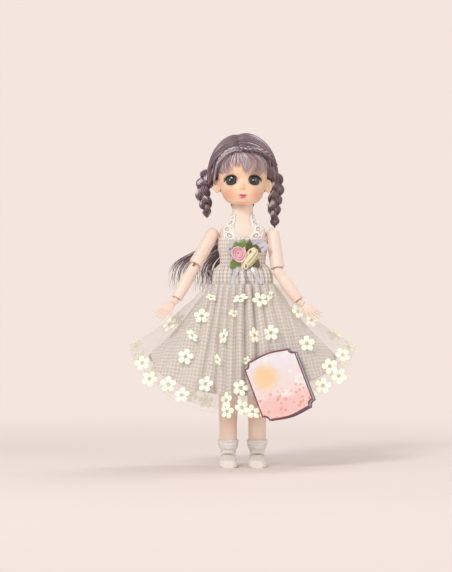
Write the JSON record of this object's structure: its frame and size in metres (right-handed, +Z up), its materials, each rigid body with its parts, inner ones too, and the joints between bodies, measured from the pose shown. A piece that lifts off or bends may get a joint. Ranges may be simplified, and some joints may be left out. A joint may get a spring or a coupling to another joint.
{
  "type": "jointed fashion doll",
  "caption": "Jointed fashion doll with braided hair, gingham halter dress, flowered tulle overskirt, ribbon corsage, socks, shoes and a folded paper tag.",
  "frame": {"origin": "on the floor under the doll, midway between its feet: the middle of the bottom of the whole doll's box", "axes": "+Z up along the body, the doll faces -Y, its left hand is on +X"},
  "size_m": [0.2088, 0.1026, 0.2986],
  "materials": {
    "skin": "smooth satin moulded plastic",
    "face": "soft satin vinyl with painted features",
    "joint": "satin moulded plastic",
    "eye": "clear gloss over dark iris",
    "hair": "silky synthetic fibre",
    "hair_light": "silky synthetic fibre, paler",
    "hair_tie": "small elastic band",
    "gingham": "fine beige and white check, matt",
    "tulle": "sheer net with woven flowers",
    "lace": "thick cotton lace",
    "satin_pink": "satin ribbon",
    "satin_cream": "satin ribbon",
    "satin_green": "satin ribbon",
    "ribbon": "silvery metallic ribbon",
    "sock": "fine knit",
    "shoe": "soft satin vinyl",
    "card": "coated card with printed edge",
    "card_back": "coated card",
    "tack": "clear white nylon"
  },
  "bodies": {
    "torso": {"torso_front": "skin", "torso_back": "skin", "bodice": "gingham", "skirt_lining": "gingham", "skirt_tulle": "tulle", "lace_strap_right": "lace", "lace_strap_left": "lace", "silver_bow": "ribbon", "rose_leaves": "satin_green", "rose_pink": "satin_pink", "rose_cream": "satin_cream", "tag_front": "card", "tag_back": "card_back", "tag_tack": "tack"},
    "neck": {"neck_peg": "joint"},
    "neck_socket": {"head_socket": "joint"},
    "head": {"face": "face", "head_cap": "face", "eye_right": "eye", "eye_left": "eye", "wig": "hair", "bangs": "hair_light", "crown_braid": "hair_light", "side_braid_right": "hair", "side_braid_left": "hair", "hair_tie_right": "hair_tie", "hair_tie_left": "hair_tie", "back_hair": "hair"},
    "right_shoulder": {"shoulder_peg_right": "joint"},
    "right_upper_arm": {"upper_arm_right": "skin"},
    "right_elbow": {"elbow_peg_right": "joint"},
    "right_forearm": {"forearm_right": "skin"},
    "right_wrist": {"wrist_peg_right": "joint"},
    "right_hand": {"hand_right": "skin"},
    "left_shoulder": {"shoulder_peg_left": "joint"},
    "left_upper_arm": {"upper_arm_left": "skin"},
    "left_elbow": {"elbow_peg_left": "joint"},
    "left_forearm": {"forearm_left": "skin"},
    "left_wrist": {"wrist_peg_left": "joint"},
    "left_hand": {"hand_left": "skin"},
    "right_hip": {"hip_peg_right": "joint"},
    "right_thigh": {"thigh_right": "skin", "knee_peg_right": "joint"},
    "right_shin": {"shin_right": "skin", "sock_right": "sock"},
    "right_ankle": {"ankle_peg_right": "joint"},
    "right_foot": {"foot_right": "skin", "shoe_right": "shoe"},
    "left_hip": {"hip_peg_left": "joint"},
    "left_thigh": {"thigh_left": "skin", "knee_peg_left": "joint"},
    "left_shin": {"shin_left": "skin", "sock_left": "sock"},
    "left_ankle": {"ankle_peg_left": "joint"},
    "left_foot": {"foot_left": "skin", "shoe_left": "shoe"}
  },
  "joints": [
    {"name": "head_turn", "type": "hinge", "parent": "torso", "child": "neck", "pos_m": [0, 0, 0.244], "axis": [0, 0, 1], "range_deg": [-75, 75], "deforming": ["side_braid_right", "side_braid_left", "hair_tie_right", "hair_tie_left", "back_hair"]},
    {"name": "head_nod", "type": "hinge", "parent": "neck", "child": "neck_socket", "pos_m": [0, 0, 0.244], "axis": [1, 0, 0], "range_deg": [-10, 10]},
    {"name": "head_tilt", "type": "hinge", "parent": "neck_socket", "child": "head", "pos_m": [0, 0, 0.244], "axis": [0, 1, 0], "range_deg": [-8, 8]},
    {"name": "shoulder_swing_right", "type": "hinge", "parent": "torso", "child": "right_shoulder", "pos_m": [-0.0273, 0, 0.2085], "axis": [1, 0, 0], "range_deg": [-109, 44]},
    {"name": "shoulder_raise_right", "type": "hinge", "parent": "right_shoulder", "child": "right_upper_arm", "pos_m": [-0.0273, 0, 0.2085], "axis": [0, 0.9613, -0.2756], "range_deg": [-23, 52]},
    {"name": "elbow_turn_right", "type": "hinge", "parent": "right_upper_arm", "child": "right_elbow", "pos_m": [-0.0442, -0.00876, 0.17794], "axis": [0.4695, 0.2434, 0.8487], "range_deg": [-90, 90]},
    {"name": "elbow_bend_right", "type": "hinge", "parent": "right_elbow", "child": "right_forearm", "pos_m": [-0.0442, -0.00876, 0.17794], "axis": [-0.8829, 0.1294, 0.4513], "range_deg": [0, 70]},
    {"name": "wrist_turn_right", "type": "hinge", "parent": "right_forearm", "child": "right_wrist", "pos_m": [-0.06016, -0.01704, 0.14909], "axis": [0.4695, 0.2434, 0.8487], "range_deg": [-90, 90]},
    {"name": "wrist_bend_right", "type": "hinge", "parent": "right_wrist", "child": "right_hand", "pos_m": [-0.06016, -0.01704, 0.14909], "axis": [0, 0.9613, -0.2756], "range_deg": [-73, 37]},
    {"name": "shoulder_swing_left", "type": "hinge", "parent": "torso", "child": "left_shoulder", "pos_m": [0.0273, 0, 0.2085], "axis": [1, 0, 0], "range_deg": [-109, 44]},
    {"name": "shoulder_raise_left", "type": "hinge", "parent": "left_shoulder", "child": "left_upper_arm", "pos_m": [0.0273, 0, 0.2085], "axis": [0, -0.9613, 0.2756], "range_deg": [-2, 73]},
    {"name": "elbow_turn_left", "type": "hinge", "parent": "left_upper_arm", "child": "left_elbow", "pos_m": [0.03169, -0.00985, 0.17415], "axis": [-0.1219, 0.2736, 0.9541], "range_deg": [-90, 90]},
    {"name": "elbow_bend_left", "type": "hinge", "parent": "left_elbow", "child": "left_forearm", "pos_m": [0.03169, -0.00985, 0.17415], "axis": [0, -0.9613, 0.2756], "range_deg": [-28, 42]},
    {"name": "wrist_turn_left", "type": "hinge", "parent": "left_forearm", "child": "left_wrist", "pos_m": [0.05119, -0.01753, 0.14738], "axis": [-0.5736, 0.2258, 0.7874], "range_deg": [-90, 90]},
    {"name": "wrist_bend_left", "type": "hinge", "parent": "left_wrist", "child": "left_hand", "pos_m": [0.05119, -0.01753, 0.14738], "axis": [0, -0.9613, 0.2756], "range_deg": [-73, 37]},
    {"name": "hip_swing_right", "type": "hinge", "parent": "torso", "child": "right_hip", "pos_m": [-0.013, 0, 0.146], "axis": [1, 0, 0], "range_deg": [-85, 20], "deforming": ["skirt_lining", "skirt_tulle", "tag_front", "tag_back", "tag_tack"]},
    {"name": "hip_spread_right", "type": "hinge", "parent": "right_hip", "child": "right_thigh", "pos_m": [-0.013, 0, 0.146], "axis": [0, 1, 0], "range_deg": [0, 35]},
    {"name": "knee_bend_right", "type": "hinge", "parent": "right_thigh", "child": "right_shin", "pos_m": [-0.013, 0, 0.082], "axis": [1, 0, 0], "range_deg": [0, 70]},
    {"name": "ankle_turn_right", "type": "hinge", "parent": "right_shin", "child": "right_ankle", "pos_m": [-0.013, 0, 0.019], "axis": [0, 0, 1], "range_deg": [-20, 20]},
    {"name": "ankle_bend_right", "type": "hinge", "parent": "right_ankle", "child": "right_foot", "pos_m": [-0.013, 0, 0.019], "axis": [1, 0, 0], "range_deg": [-25, 25], "deforming": ["sock_right"]},
    {"name": "hip_swing_left", "type": "hinge", "parent": "torso", "child": "left_hip", "pos_m": [0.013, 0, 0.146], "axis": [1, 0, 0], "range_deg": [-85, 20]},
    {"name": "hip_spread_left", "type": "hinge", "parent": "left_hip", "child": "left_thigh", "pos_m": [0.013, 0, 0.146], "axis": [0, -1, 0], "range_deg": [0, 35]},
    {"name": "knee_bend_left", "type": "hinge", "parent": "left_thigh", "child": "left_shin", "pos_m": [0.013, 0, 0.082], "axis": [1, 0, 0], "range_deg": [0, 70]},
    {"name": "ankle_turn_left", "type": "hinge", "parent": "left_shin", "child": "left_ankle", "pos_m": [0.013, 0, 0.019], "axis": [0, 0, 1], "range_deg": [-20, 20]},
    {"name": "ankle_bend_left", "type": "hinge", "parent": "left_ankle", "child": "left_foot", "pos_m": [0.013, 0, 0.019], "axis": [1, 0, 0], "range_deg": [-25, 25], "deforming": ["sock_left"]}
  ]
}
